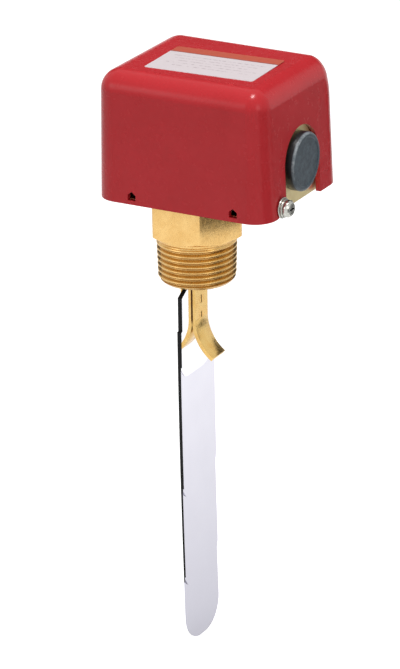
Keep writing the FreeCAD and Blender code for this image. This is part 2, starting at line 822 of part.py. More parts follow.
def leaf_outline(index):
    """Face seen along the flow: sloped shoulders, a small step below the clamp, unequal lower corners."""
    end = leaf_ends[index]
    near = leaf_near_round
    far = leaf_far_round
    half = leaf_width / 2
    waist = leaf_waist_width / 2
    shoulder = leaf_top - leaf_shoulder_drop
    q = 1 - math.sqrt(0.5)
    x = leaf_back_x - 1
    corners = [V(x, -half, end + near), V(x, -half, leaf_waist_end), V(x, -waist, leaf_waist_end),
               V(x, -waist, shoulder), V(x, -leaf_top_width / 2, leaf_top), V(x, leaf_top_width / 2, leaf_top),
               V(x, waist, shoulder), V(x, waist, leaf_waist_end), V(x, half, leaf_waist_end),
               V(x, half, end + far)]
    edges = [Part.makeLine(corners[i], corners[i + 1]) for i in range(len(corners) - 1)]
    edges.append(Part.Arc(corners[-1], V(x, half - q * far, end + q * far), V(x, half - far, end)).toShape())
    edges.append(Part.makeLine(V(x, half - far, end), V(x, near - half, end)))
    edges.append(Part.Arc(V(x, near - half, end), V(x, q * near - half, end + q * near), corners[0]).toShape())
    return Part.Face(Part.Wire(edges))


def leaf_sheet(index):
    """Thin sheet, straight in the clamp and then bent evenly towards the flow."""
    front = leaf_front(index)
    back = front - leaf_thickness
    low = min(leaf_ends) - 1
    turn = math.asin((leaf_set_start - low) / leaf_set_radius)
    centre_x = leaf_front_x + leaf_set_radius
    y = -leaf_width / 2 - 1

    def on_arc(face_x, angle):
        radius = centre_x - face_x
        return V(centre_x - radius * math.cos(angle), y, leaf_set_start - radius * math.sin(angle))

    edges = [Part.makeLine(V(front, y, leaf_top + 1), V(back, y, leaf_top + 1)),
             Part.makeLine(V(back, y, leaf_top + 1), on_arc(back, 0)),
             Part.Arc(on_arc(back, 0), on_arc(back, turn / 2), on_arc(back, turn)).toShape(),
             Part.makeLine(on_arc(back, turn), on_arc(front, turn)),
             Part.Arc(on_arc(front, turn), on_arc(front, turn / 2), on_arc(front, 0)).toShape(),
             Part.makeLine(on_arc(front, 0), V(front, y, leaf_top + 1))]
    return Part.Face(Part.Wire(edges)).extrude(V(0, leaf_width + 2, 0))


def paddle_leaf(index):
    cutter = leaf_outline(index).extrude(V(leaf_front_x - leaf_back_x + 5, 0, 0))
    leaf = leaf_sheet(index).common(cutter)
    return clamp_holes(leaf, leaf_back_x - 1, leaf_front_x + 1, clamp_screw_radius + clamp_hole_gap)


def flared_strip(straight_end, flare_angle):
    """Brass strip, straight where it is clamped and then flared away from the paddle."""
    half = tongue_width / 2
    x0 = leaf_front_x
    x1 = leaf_front_x + wing_thickness
    turn = math.radians(flare_angle)
    centre_x = x0 + wing_flare_radius

    def on_arc(radius, angle):
        return V(centre_x - radius * math.cos(angle), -half, straight_end - radius * math.sin(angle))

    inner = wing_flare_radius - wing_thickness
    outer = wing_flare_radius
    edges = [Part.makeLine(V(x1, -half, wing_top), V(x0, -half, wing_top)),
             Part.makeLine(V(x0, -half, wing_top), on_arc(outer, 0)),
             Part.Arc(on_arc(outer, 0), on_arc(outer, turn / 2), on_arc(outer, turn)).toShape(),
             Part.makeLine(on_arc(outer, turn), on_arc(inner, turn)),
             Part.Arc(on_arc(inner, turn), on_arc(inner, turn / 2), on_arc(inner, 0)).toShape(),
             Part.makeLine(on_arc(inner, 0), V(x1, -half, wing_top))]
    return Part.Face(Part.Wire(edges)).extrude(V(0, tongue_width, 0))


def upstream_wing():
    wing = flared_strip(wing_straight_end, wing_flare_angle)
    for z in clamp_screw_heights:
        wing = wing.cut(countersink(z, leaf_front_x + wing_thickness, clamp_hole_gap))
    return wing


def countersink(z, face_x, gap):
    """Countersunk hole, also the form of the screw when the gap is nothing."""
    depth = clamp_head_radius - clamp_screw_radius
    return revolved([(0, -wing_thickness - 1), (clamp_screw_radius + gap, -wing_thickness - 1),
                     (clamp_screw_radius + gap, -depth), (clamp_head_radius + gap, 0), (0, 0)],
                    V(face_x, 0, z), X_DIR)


def downstream_wing():
    middle = (leaf_front_x + tongue_back_x) / 2
    strip = flared_strip(back_wing_straight_end, back_wing_flare_angle)
    wing = mirrored(strip, V(middle, 0, 0), X_DIR)
    x1 = tongue_back_x
    return clamp_holes(wing, x1 - wing_thickness, x1, clamp_screw_radius + clamp_hole_gap)


def clamp_screws():
    face_x = leaf_front_x + wing_thickness
    back_x = tongue_back_x - wing_thickness - clamp_nut_thickness - clamp_screw_stand
    depth = clamp_head_radius - clamp_screw_radius
    screws = []
    for z in clamp_screw_heights:
        screw = revolved([(0, back_x - face_x), (clamp_screw_radius, back_x - face_x),
                          (clamp_screw_radius, -depth), (clamp_head_radius, 0), (0, 0)],
                         V(face_x, 0, z), X_DIR)
        slot = block(face_x - depth * 0.6, face_x + 1, -clamp_slot_width / 2, clamp_slot_width / 2,
                     z - clamp_head_radius - 1, z + clamp_head_radius + 1)
        screws.append(screw.cut(slot))
    return screws


def clamp_nuts():
    start_x = tongue_back_x - wing_thickness
    nuts = []
    for z in clamp_screw_heights:
        nut = hexagon(clamp_nut_flats, clamp_nut_thickness, V(start_x, 0, z), -X_DIR, Z_DIR)
        nuts.append(nut.cut(cylinder(clamp_screw_radius + screw_gap, clamp_nut_thickness, V(start_x, 0, z),
                                     -X_DIR)))
    return nuts


# Range adjustment

def range_screw():
    seat = V(range_x, 0, frame_top + sheet_thickness)
    return pan_screw(range_screw_radius, range_head_radius, range_head_height, seat.z - range_screw_end,
                     seat, Z_DIR, cross=False)


def range_clip():
    start = V(range_x, 0, frame_top - running_gap)
    return ring(range_clip_radius, range_screw_radius, range_clip_thickness, start, -Z_DIR)


def range_nut():
    """Square nut with a tongue that slides in the frame's slot and shows the setting."""
    low = range_nut_top - range_nut_thickness
    nut = rounded_plate(range_nut_width, range_nut_width, 1.5, V(range_x, 0, low), range_nut_thickness)
    tongue = block(range_x - range_tongue_width / 2, range_x + range_tongue_width / 2, 0,
                   frame_outer_half + range_tongue_reach, low + 1, range_nut_top - 1)
    nut = nut.fuse(tongue).removeSplitter()
    return nut.cut(cylinder(range_screw_radius + running_gap, range_nut_thickness, V(range_x, 0, low)))


def range_spring():
    """Helix of short straight runs with a six-sided wire, between the crank plate and the nut."""
    low = crank_top + spring_seat_gap + spring_wire_radius
    high = range_nut_top - range_nut_thickness - spring_seat_gap - spring_wire_radius
    steps = int(spring_turns * spring_steps)
    sections = []
    for i in range(steps + 1):
        angle = 2 * math.pi * i / spring_steps
        out = V(math.cos(angle), math.sin(angle), 0)
        centre = V(range_x, 0, low + (high - low) * i / steps) + out * spring_mean_radius
        corners = []
        for k in range(6):
            turn = math.radians(60 * k)
            corners.append(centre + out * (spring_wire_radius * math.cos(turn))
                           + Z_DIR * (spring_wire_radius * math.sin(turn)))
        sections.append(Part.makePolygon(corners + [corners[0]]))
    return Part.makeLoft(sections, True, True)


# Snap switch

def switch_part(x0, x1):
    part = block(x0, x1, -switch_length / 2, switch_length / 2, shelf_top, shelf_top + switch_thickness)
    return fillet_where(part, switch_corner, lambda middle, along: abs(along.x) > 0.9)


def switch_case():
    case = switch_part(switch_face_x, switch_base_x)
    case = case.cut(cylinder(plunger_radius + running_gap, plunger_inside + plunger_spare,
                             V(switch_face_x, 0, plunger_z), X_DIR))
    for side in (-1, 1):
        case = case.cut(cylinder(switch_hole_radius, switch_thickness,
                                 V(switch_hole_x, side * switch_hole_pitch / 2, shelf_top)))
    return case


def terminal_points():
    return [V(switch_back_x, i * terminal_pitch, plunger_z) for i in (-1, 0, 1)]


def switch_base():
    base = switch_part(switch_base_x, switch_back_x)
    for side in (-1, 1):
        y = side * terminal_pitch / 2
        base = base.fuse(block(switch_back_x, switch_back_x + barrier_height, y - barrier_width / 2,
                               y + barrier_width / 2, shelf_top, shelf_top + switch_thickness))
    base = base.removeSplitter()
    for point in terminal_points():
        base = base.cut(cylinder(terminal_screw_radius, terminal_screw_depth, point, -X_DIR))
    return base


def terminal_plates():
    plates = []
    for point in terminal_points():
        plate = block(point.x, point.x + terminal_thickness, point.y - terminal_width / 2,
                      point.y + terminal_width / 2, point.z - terminal_height / 2,
                      point.z + terminal_height / 2)
        plates.append(plate.cut(cylinder(terminal_screw_radius + running_gap, terminal_thickness, point,
                                         X_DIR)))
    return plates


def terminal_screws():
    return [pan_screw(terminal_screw_radius - screw_gap, terminal_head_radius, terminal_head_height,
                      terminal_thickness + terminal_screw_depth - 0.3, point + X_DIR * terminal_thickness,
                      X_DIR) for point in terminal_points()]


def switch_plunger():
    tip = crank_tab_x + crank_thickness + seat_gap
    end = switch_face_x + plunger_inside
    pin = cylinder(plunger_radius, end - tip, V(tip, 0, plunger_z), X_DIR)
    return fillet_where(pin, 0.8, lambda middle, along: abs(middle.x - tip) < 0.01 and abs(along.x) < 0.1)


def switch_bracket():
    """Folded table under the switch, with a screwed foot on each side."""
    x0 = switch_face_x + shelf_inset
    x1 = switch_back_x - shelf_inset
    outer = bracket_leg_y
    bracket = block(x0, x1, -outer, outer, shelf_top - sheet_thickness, shelf_top)
    for side in (-1, 1):
        y0, y1 = sorted((side * outer, side * (outer - sheet_thickness)))
        bracket = bracket.fuse(block(x0, x1, y0, y1, floor_top, shelf_top))
        f0, f1 = sorted((side * (outer - sheet_thickness), side * (outer + bracket_foot)))
        foot = block(x0, x1, f0, f1, floor_top, floor_top + sheet_thickness)
        foot = fillet_where(foot, 2.0, lambda middle, along: abs(along.z) > 0.9 and abs(middle.y) > outer + 1)
        bracket = bracket.fuse(foot)
    bracket = bracket.removeSplitter()
    bracket = fillet_where(bracket, frame_bend_radius + sheet_thickness, lambda middle, along:
                           abs(middle.z - shelf_top) < 0.01 and abs(along.x) > 0.9)
    for side in (-1, 1):
        bracket = bracket.cut(cylinder(switch_screw_radius, sheet_thickness,
                                       V(switch_hole_x, side * switch_hole_pitch / 2, shelf_top), -Z_DIR))
    for point in bracket_screw_points():
        bracket = bracket.cut(cylinder(plate_screw_radius + running_gap, sheet_thickness, point))
    return bracket


def bracket_screws():
    return [pan_screw(plate_screw_radius - screw_gap, plate_screw_head_radius, plate_screw_head_height,
                      2 * sheet_thickness, point + Z_DIR * sheet_thickness, Z_DIR)
            for point in bracket_screw_points()]


def switch_screws():
    top = shelf_top + switch_thickness
    length = switch_thickness + sheet_thickness + switch_screw_stand
    return [pan_screw(switch_screw_radius - screw_gap, switch_head_radius, switch_head_height, length,
                      V(switch_hole_x, side * switch_hole_pitch / 2, top), Z_DIR) for side in (-1, 1)]


def build():
    os.makedirs("parts", exist_ok=True)
    pieces = [brass_body, body_screws, bellows, body_gasket, bellows_ring, cover, rating_label, base_plate,
              conduit_grommet, cover_screws, plain_washers, spring_washers, earth_screw, earth_washer,
              mechanism_frame, frame_screws, pivot_pin, pivot_clips, pivot_spacers, lever_head, lever_stem,
              bellows_cap, crank_plate, crank_screws, upstream_wing, downstream_wing, clamp_screws,
              clamp_nuts, range_screw, range_clip, range_nut, range_spring, switch_case, switch_base,
              terminal_plates, terminal_screws, switch_plunger, switch_bracket, bracket_screws,
              switch_screws]
    for piece in pieces:
        save(piece.__name__, piece())
    for index in range(len(leaf_ends)):
        save("paddle_leaf_" + str(index + 1), paddle_leaf(index))


build()
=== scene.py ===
import math

import bmesh
import bpy
from mathutils import Matrix, Vector


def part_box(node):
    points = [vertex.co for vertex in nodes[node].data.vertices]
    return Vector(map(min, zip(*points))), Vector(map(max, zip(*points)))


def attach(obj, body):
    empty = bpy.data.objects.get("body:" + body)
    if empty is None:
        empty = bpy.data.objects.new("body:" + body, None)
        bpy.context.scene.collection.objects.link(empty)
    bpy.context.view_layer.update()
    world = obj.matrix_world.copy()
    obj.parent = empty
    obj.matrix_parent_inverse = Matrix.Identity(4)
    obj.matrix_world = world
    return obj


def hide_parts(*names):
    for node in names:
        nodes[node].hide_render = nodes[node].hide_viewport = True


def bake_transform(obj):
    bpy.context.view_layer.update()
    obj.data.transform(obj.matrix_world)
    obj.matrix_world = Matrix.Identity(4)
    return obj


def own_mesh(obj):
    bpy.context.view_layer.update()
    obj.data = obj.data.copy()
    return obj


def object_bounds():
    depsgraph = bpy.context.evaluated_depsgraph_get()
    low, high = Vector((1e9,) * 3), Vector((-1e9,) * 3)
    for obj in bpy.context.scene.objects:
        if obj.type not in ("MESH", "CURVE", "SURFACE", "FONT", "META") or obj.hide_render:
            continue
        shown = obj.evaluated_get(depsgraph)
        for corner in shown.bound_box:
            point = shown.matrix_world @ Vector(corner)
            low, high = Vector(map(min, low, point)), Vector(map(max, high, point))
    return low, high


# paddle flow switch: finishes, finer pieces, studio and camera around the solid parts
# sizes in the dictionaries are in millimetres, angles in degrees

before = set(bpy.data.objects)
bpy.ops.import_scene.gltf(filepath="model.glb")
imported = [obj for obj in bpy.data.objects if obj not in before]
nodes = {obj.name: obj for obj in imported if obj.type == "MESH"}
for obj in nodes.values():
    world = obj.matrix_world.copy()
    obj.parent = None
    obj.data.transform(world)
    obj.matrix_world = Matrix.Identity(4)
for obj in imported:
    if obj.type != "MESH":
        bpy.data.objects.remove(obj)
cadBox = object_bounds()
mm = 0.001
weldGap = 0.001  # points of a solid part closer than this become one
scene = bpy.context.scene
print("frame loaded:", len(nodes), "nodes")


def startMaterial(name):
    material = bpy.data.materials.new(name)
    material.use_nodes = True
    tree = material.node_tree
    return material, tree, tree.nodes["Principled BSDF"]


def feed(tree, source, target):
    tree.links.new(source, target)
    return source


def place(tree, stretch=(1, 1, 1)):
    # position on the piece in its own metres, stretched for grain that runs one way
    where = tree.nodes.new("ShaderNodeTexCoord")
    mapping = tree.nodes.new("ShaderNodeMapping")
    mapping.inputs["Scale"].default_value = stretch
    feed(tree, where.outputs["Object"], mapping.inputs["Vector"])
    return mapping.outputs["Vector"]


def noise(tree, size, detail=3.0, rough=0.5, stretch=(1, 1, 1)):
    # size is the width of one patch
    node = tree.nodes.new("ShaderNodeTexNoise")
    node.inputs["Scale"].default_value = 1.0 / (size * mm)
    node.inputs["Detail"].default_value = detail
    node.inputs["Roughness"].default_value = rough
    feed(tree, place(tree, stretch), node.inputs["Vector"])
    return node.outputs["Fac"]


def spread(tree, source, low, high, fromLow=0.3, fromHigh=0.7):
    # noise lies mostly between 0.3 and 0.7, and this stretches it to run from low to high
    node = tree.nodes.new("ShaderNodeMapRange")
    node.inputs["From Min"].default_value = fromLow
    node.inputs["From Max"].default_value = fromHigh
    node.inputs["To Min"].default_value = low
    node.inputs["To Max"].default_value = high
    feed(tree, source, node.inputs["Value"])
    return node.outputs["Result"]


def mixColour(tree, factor, first, second):
    node = tree.nodes.new("ShaderNodeMix")
    node.data_type = "RGBA"
    feed(tree, factor, node.inputs["Factor"])
    for socket, value in ((node.inputs["A"], first), (node.inputs["B"], second)):
        if isinstance(value, bpy.types.NodeSocket):
            feed(tree, value, socket)
        else:
            socket.default_value = (*value, 1)
    return node.outputs["Result"]


def combine(tree, kind, first, second):
    node = tree.nodes.new("ShaderNodeMath")
    node.operation = kind
    for socket, value in zip(node.inputs, (first, second)):
        if isinstance(value, bpy.types.NodeSocket):
            feed(tree, value, socket)
        else:
            socket.default_value = value
    return node.outputs["Value"]


def unsigned(tree, source):
    # the value without its sign
    return combine(tree, "ABSOLUTE", source, 0.0)


def along(tree, axis):
    # position along one axis of the piece, in metres
    where = tree.nodes.new("ShaderNodeTexCoord")
    split = tree.nodes.new("ShaderNodeSeparateXYZ")
    feed(tree, where.outputs["Object"], split.inputs["Vector"])
    return split.outputs[axis]


def step(tree, source, start, end):
    # 0 at start and 1 at end
    node = tree.nodes.new("ShaderNodeMapRange")
    node.inputs["From Min"].default_value = start * mm
    node.inputs["From Max"].default_value = end * mm
    feed(tree, source, node.inputs["Value"])
    return node.outputs["Result"]


def distance(tree, first, second):
    squares = combine(tree, "ADD", combine(tree, "MULTIPLY", first, first),
                      combine(tree, "MULTIPLY", second, second))
    return combine(tree, "SQRT", squares, 0.0)


def fromAxis(tree, first, firstAt, second, secondAt):
    # distance from a line that runs along the third axis
    return distance(tree, combine(tree, "SUBTRACT", along(tree, first), firstAt * mm),
                    combine(tree, "SUBTRACT", along(tree, second), secondAt * mm))


def relief(tree, shader, height, depth):
    node = tree.nodes.new("ShaderNodeBump")
    node.inputs["Strength"].default_value = 1.0
    node.inputs["Distance"].default_value = depth * mm
    feed(tree, height, node.inputs["Height"])
    feed(tree, node.outputs["Normal"], shader.inputs["Normal"])


def mottled(name, look):
    # two tones, uneven gloss and a fine relief, all from noise; shadow paints shade and shine paints a
    # highlight where a look gives them
    material, tree, shader = startMaterial(name)
    stretch = look.get("stretch", (1, 1, 1))
    tone = spread(tree, noise(tree, look["patch"], 4, 0.6), 0, 1)
    colour = mixColour(tree, tone, look["colour"], look["shade"])
    if look.get("shadow"):
        colour = mixColour(tree, look["shadow"](tree), colour, look["shadowColour"])
    if look.get("shine"):
        colour = mixColour(tree, look["shine"](tree), colour, look["shineColour"])
    feed(tree, colour, shader.inputs["Base Color"])
    gloss = noise(tree, look["glossPatch"], 3, 0.55, stretch)
    feed(tree, spread(tree, gloss, *look["roughness"]), shader.inputs["Roughness"])
    shader.inputs["Metallic"].default_value = look.get("metallic", 0)
    shader.inputs["Specular IOR Level"].default_value = look.get("specular", 0.5)
    shader.inputs["IOR"].default_value = look.get("ior", 1.5)
    relief(tree, shader, noise(tree, look["grain"], 2, 0.5, stretch), look["depth"])
    return material


leafShade = {"shadeFrom": -62, "shadeFull": -190}  # heights
threadShade = {"crest": 16.6, "root": 14.9, "shoulder": 0.0, "below": -0.6, "strength": 0.45}
wingShade = {"skin": 0.62, "seam": 0.42, "bend": -38.5, "straight": -36.5}
slotDepth = {"mouth": 1.66, "floor": 1.56}
grommetShade = {
    "face": 49.35, "side": 49.0, "rimInner": 10.9, "rimOuter": 12.0, "rimSoft": 0.3,
    "litFrom": 3, "litFull": 14, "highlightPatch": 1.2}
recessShape = {
    "sideways": 19.0, "height": 24.4, "radius": 2.3, "soft": 0.2, "lip": 0.08, "floor": 0.3,
    "gapTop": 2.35, "gapFull": 2.6}


def leafEndShade(tree):
    # painted shade: the leaves get darker towards their free ends
    return step(tree, along(tree, "Z"), leafShade["shadeFrom"], leafShade["shadeFull"])


def threadRootShade(tree):
    # painted shade in the roots of the thread
    depth = step(tree, fromAxis(tree, "X", 0, "Y", 0), threadShade["crest"], threadShade["root"])
    onPipe = step(tree, along(tree, "Z"), threadShade["shoulder"], threadShade["below"])
    return combine(tree, "MULTIPLY", combine(tree, "MULTIPLY", depth, onPipe), threadShade["strength"])


def wingSeamShade(tree):
    # painted contact shadow, a dark line where the strip meets the leaves
    straight = step(tree, along(tree, "Z"), wingShade["bend"], wingShade["straight"])
    seam = step(tree, along(tree, "X"), wingShade["skin"], wingShade["seam"])
    return combine(tree, "MULTIPLY", seam, straight)


def slotShade(tree):
    # painted shade inside the screwdriver slots of the clamp screws
    return step(tree, along(tree, "X"), slotDepth["mouth"], slotDepth["floor"])


# painted shade: the grommet's side wall goes near black
def grommetSideShade(tree):
    return step(tree, along(tree, "X"), grommetShade["face"], grommetShade["side"])


def grommetRimHighlight(tree):
    # painted highlight on the moulded rim where it faces up and towards the front
    shade = grommetShade
    low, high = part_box("conduit_grommet")
    middle = (low.z + high.z) / 2 / mm
    radius = fromAxis(tree, "Y", 0, "Z", middle)
    ring = combine(tree, "MULTIPLY",
                   step(tree, radius, shade["rimInner"], shade["rimInner"] + shade["rimSoft"]),
                   step(tree, radius, shade["rimOuter"], shade["rimOuter"] - shade["rimSoft"]))
    lean = combine(tree, "SUBTRACT", along(tree, "Z"), along(tree, "Y"))
    facing = step(tree, lean, middle + shade["litFrom"], middle + shade["litFull"])
    patchy = spread(tree, noise(tree, shade["highlightPatch"], 2), 0.2, 1.0)
    return combine(tree, "MULTIPLY", combine(tree, "MULTIPLY", ring, facing), patchy)


def recessShade(tree):
    # painted shade in the cross recesses of the two cover screws and in the gaps at their washers
    shape = recessShape
    low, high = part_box("cover_screws")
    middle = (low.x + high.x) / 2 / mm
    half = (high.x - low.x) / 2 / mm
    out = unsigned(tree, combine(tree, "SUBTRACT", along(tree, "X"), middle * mm))
    across = combine(tree, "SUBTRACT", unsigned(tree, along(tree, "Y")), shape["sideways"] * mm)
    up = combine(tree, "SUBTRACT", along(tree, "Z"), shape["height"] * mm)
    inside = step(tree, distance(tree, across, up), shape["radius"], shape["radius"] - shape["soft"])
    below = step(tree, out, half - shape["lip"], half - shape["floor"])
    gap = step(tree, out, half - shape["gapTop"], half - shape["gapFull"])
    return combine(tree, "MAXIMUM", combine(tree, "MULTIPLY", inside, below), gap)


# patch, glossPatch and grain are widths of the mottling, and depth is the height of its relief
finishes = {
    "redMoulding": {
        "colour": (0.58, 0.028, 0.036), "shade": (0.54, 0.025, 0.031), "patch": 14, "glossPatch": 3,
        "roughness": (0.22, 0.29), "ior": 1.3, "grain": 0.7, "depth": 0.005},
    "brass": {
        "colour": (0.76, 0.50, 0.19), "shade": (0.68, 0.42, 0.14), "patch": 6, "metallic": 1,
        "glossPatch": 1.2, "roughness": (0.20, 0.32), "grain": 0.35, "depth": 0.0012},
    # shadow paints shade into the thread roots
    "threadedBrass": {
        "colour": (0.80, 0.53, 0.21), "shade": (0.70, 0.43, 0.15), "patch": 5, "metallic": 1,
        "glossPatch": 1.2, "roughness": (0.20, 0.34), "grain": 0.35, "depth": 0.0012,
        "shadow": threadRootShade, "shadowColour": (0.26, 0.14, 0.045)},
    # shadow paints a contact shadow along the seam with the leaves
    "wingBrass": {
        "colour": (0.77, 0.54, 0.20), "shade": (0.72, 0.44, 0.13), "patch": 5, "metallic": 1,
        "glossPatch": 1.2, "roughness": (0.20, 0.30), "grain": 0.35, "depth": 0.0012,
        "shadow": wingSeamShade, "shadowColour": (0.06, 0.02, 0.008)},
    # shadow paints shade inside the screwdriver slots
    "slottedBrass": {
        "colour": (0.80, 0.50, 0.15), "shade": (0.70, 0.40, 0.11), "patch": 2, "metallic": 1,
        "glossPatch": 0.8, "roughness": (0.22, 0.34), "grain": 0.3, "depth": 0.003,
        "shadow": slotShade, "shadowColour": (0.05, 0.02, 0.008)},
    # shadow paints shade in the cross recesses and washer gaps
    "recessedSteel": {
        "colour": (0.58, 0.58, 0.54), "shade": (0.42, 0.42, 0.38), "patch": 1.5, "metallic": 1,
        "glossPatch": 0.5, "roughness": (0.16, 0.28), "grain": 0.3, "depth": 0.003,
        "shadow": recessShade, "shadowColour": (0.015, 0.015, 0.012)},
    "bronzeBellows": {
        "colour": (0.70, 0.36, 0.15), "shade": (0.60, 0.28, 0.10), "patch": 3, "metallic": 1,
        "glossPatch": 0.8, "roughness": (0.22, 0.34), "grain": 0.3, "depth": 0.003},
    "platedSheet": {
        "colour": (0.80, 0.68, 0.38), "shade": (0.74, 0.60, 0.30), "patch": 5, "metallic": 1,
        "glossPatch": 1.0, "roughness": (0.28, 0.42), "grain": 0.4, "depth": 0.004},
    "steelSheet": {
        "colour": (0.62, 0.62, 0.60), "shade": (0.55, 0.56, 0.55), "patch": 6, "metallic": 1,
        "glossPatch": 1.2, "roughness": (0.30, 0.44), "grain": 0.5, "depth": 0.004},
    "screwSteel": {
        "colour": (0.56, 0.56, 0.52), "shade": (0.42, 0.42, 0.38), "patch": 1.5, "metallic": 1,
        "glossPatch": 0.5, "roughness": (0.18, 0.30), "grain": 0.3, "depth": 0.003},
    # shadow darkens the leaves towards their free ends with painted shade
    "springLeaf": {
        "colour": (0.73, 0.72, 0.79), "shade": (0.70, 0.69, 0.76), "patch": 18, "metallic": 1,
        "glossPatch": 2.0, "roughness": (0.03, 0.07), "grain": 0.6, "depth": 0.0004,
        "stretch": (1, 1, 0.06), "shadow": leafEndShade, "shadowColour": (0.42, 0.415, 0.475)},
    # a lighter copy of springLeaf for the first leaf: painted highlight
    "litLeaf": {
        "colour": (0.92, 0.91, 0.93), "shade": (0.88, 0.87, 0.90), "patch": 18, "metallic": 1,
        "glossPatch": 2.0, "roughness": (0.03, 0.06), "grain": 0.6, "depth": 0.0004,
        "stretch": (1, 1, 0.06)},
    # near-black painted shade for the leaves' cut edges
    "leafEdgeShade": {
        "colour": (0.006, 0.006, 0.007), "shade": (0.010, 0.010, 0.011), "patch": 1.0,
        "glossPatch": 0.4, "roughness": (0.45, 0.6), "specular": 0.2, "grain": 0.2, "depth": 0.003},
    "springWire": {
        "colour": (0.50, 0.50, 0.50), "shade": (0.42, 0.42, 0.43), "patch": 2, "metallic": 1,
        "glossPatch": 0.6, "roughness": (0.2, 0.34), "grain": 0.25, "depth": 0.003},
    # shadow paints near-black shade on the grommet's side, shine a painted highlight on its rim
    "blackRubber": {
        "colour": (0.030, 0.046, 0.060), "shade": (0.075, 0.105, 0.130), "patch": 2.2,
        "glossPatch": 1.0, "roughness": (0.28, 0.5), "specular": 0.3, "grain": 0.5, "depth": 0.03,
        "shadow": grommetSideShade, "shadowColour": (0.006, 0.006, 0.007),
        "shine": grommetRimHighlight, "shineColour": (0.42, 0.46, 0.48)},
    "gasketFibre": {
        "colour": (0.16, 0.14, 0.11), "shade": (0.10, 0.09, 0.075), "patch": 1.0,
        "glossPatch": 0.6, "roughness": (0.75, 0.9), "grain": 0.25, "depth": 0.03},
    "switchBlack": {
        "colour": (0.022, 0.022, 0.024), "shade": (0.032, 0.031, 0.032), "patch": 5,
        "glossPatch": 1.0, "roughness": (0.36, 0.5), "grain": 0.4, "depth": 0.006},
    "switchButton": {
        "colour": (0.52, 0.06, 0.03), "shade": (0.45, 0.05, 0.03), "patch": 1,
        "glossPatch": 0.6, "roughness": (0.3, 0.42), "grain": 0.3, "depth": 0.003},
    "earthGreen": {
        "colour": (0.05, 0.30, 0.10), "shade": (0.04, 0.24, 0.08), "patch": 1,
        "glossPatch": 0.6, "roughness": (0.35, 0.5), "metallic": 0.4, "grain": 0.3, "depth": 0.003},
}
finish = {name: mottled(name, look) for name, look in finishes.items()}
print("finishes made:", len(finish))


# the solid parts that are shown as they are
dressing = {
    "brass": ["lever_stem", "lever_head", "downstream_wing", "clamp_nuts", "bellows_ring",
              "terminal_plates", "pivot_spacers"],
    "wingBrass": ["upstream_wing"],
    "slottedBrass": ["clamp_screws"],
    "recessedSteel": ["cover_screws"],
    "bronzeBellows": ["bellows_cap"],
    "platedSheet": ["base_plate"],
    "steelSheet": ["mechanism_frame", "switch_bracket", "crank_plate", "pivot_pin"],
    "screwSteel": ["plain_washers", "spring_washers", "body_screws", "frame_screws",
                   "bracket_screws", "switch_screws", "terminal_screws", "crank_screws",
                   "pivot_clips", "range_screw", "range_clip", "range_nut", "earth_washer"],
    "blackRubber": ["conduit_grommet"],
    "gasketFibre": ["body_gasket"],
    "switchBlack": ["switch_case", "switch_base"],
    "switchButton": ["switch_plunger"],
    "earthGreen": ["earth_screw"],
}


def dress(node, material):
    mesh = nodes[node].data
    mesh.materials.clear()
    mesh.materials.append(material)


for name, members in dressing.items():
    for node in members:
        dress(node, finish[name])
print("solid parts dressed")


def addPiece(name, mesh, materials, body, *replaced):
    for material in materials:
        mesh.materials.append(material)
    piece = bpy.data.objects.new(name, mesh)
    scene.collection.objects.link(piece)
    if body:
        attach(piece, body)
    if replaced:
        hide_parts(*replaced)
    return piece


def skinRows(bm, rows, closed):
    # join rows of points, given in millimetres, with quads
    made = [[bm.verts.new((x * mm, y * mm, z * mm)) for x, y, z in row] for row in rows]
    for upper, lower in zip(made, made[1:]):
        count = len(upper)
        for i in range(count if closed else count - 1):
            j = (i + 1) % count
            bm.faces.new((upper[i], lower[i], lower[j], upper[j]))
    return made


def smoothMesh(bm, name, sharpAngle):
    mesh = bpy.data.meshes.new(name)
    bm.to_mesh(mesh)
    bm.free()
    mesh.polygons.foreach_set("use_smooth", [True] * len(mesh.polygons))
    mesh.set_sharp_from_angle(angle=math.radians(sharpAngle))
    return mesh


def finishMesh(bm, name, sharpAngle=40):
    closeGap = weldGap / 2
    bmesh.ops.remove_doubles(bm, verts=bm.verts, dist=closeGap * mm)
    bmesh.ops.dissolve_degenerate(bm, edges=bm.edges, dist=closeGap * mm)
    bmesh.ops.recalc_face_normals(bm, faces=bm.faces)
    return smoothMesh(bm, name, sharpAngle)


def roundEdges(piece, width, segments):
    bevel = piece.modifiers.new("softEdge", "BEVEL")
    bevel.width = width * mm
    bevel.segments = segments
    bevel.limit_method = "ANGLE"
    bevel.angle_limit = math.radians(35)
    return bevel


# brass body: hexagon with turned ends, counterbore and a tapered pipe thread
brassLook = {
    "faceInset": 0.4, "chamferAngle": 30, "cornerRadius": 20.55, "edgeRound": 0.3,
    "bore": 11.5, "boreEdge": 0.4, "counterbore": 13.2, "counterboreDepth": 2.6, "counterboreEdge": 0.3,
    "pipeRadius": 16.55, "pitch": 2.309, "threadDepth": 1.45, "taper": 1 / 32,
    "crestFlat": 0.14, "roundShare": 0.35, "threadStart": 0.5, "runOut": 3.2,
    "endChamfer": 1.5, "endSlope": 0.9, "columns": 144, "steps": 12}
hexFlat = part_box("brass_body")[1].y / mm


def hexRadius(angle):
    fromFlat = math.radians(math.degrees(angle) % 60 - 30)
    return min(hexFlat / math.cos(fromFlat), brassLook["cornerRadius"])


def threadRadius(turn, z):
    # a rounded wave with small flats that fades out towards the shoulder
    look = brassLook
    flat = look["crestFlat"]
    phase = (z / look["pitch"] - turn) % 1
    wave = min(max((abs(2 * phase - 1) - flat) / (1 - 2 * flat), 0), 1)
    crest = wave * wave * (3 - 2 * wave) * look["roundShare"] + wave * (1 - look["roundShare"])
    full = min(max((-z - look["threadStart"]) / look["runOut"], 0), 1)
    outer = look["pipeRadius"] + z * look["taper"]
    return outer - look["threadDepth"] * full * (1 - crest)


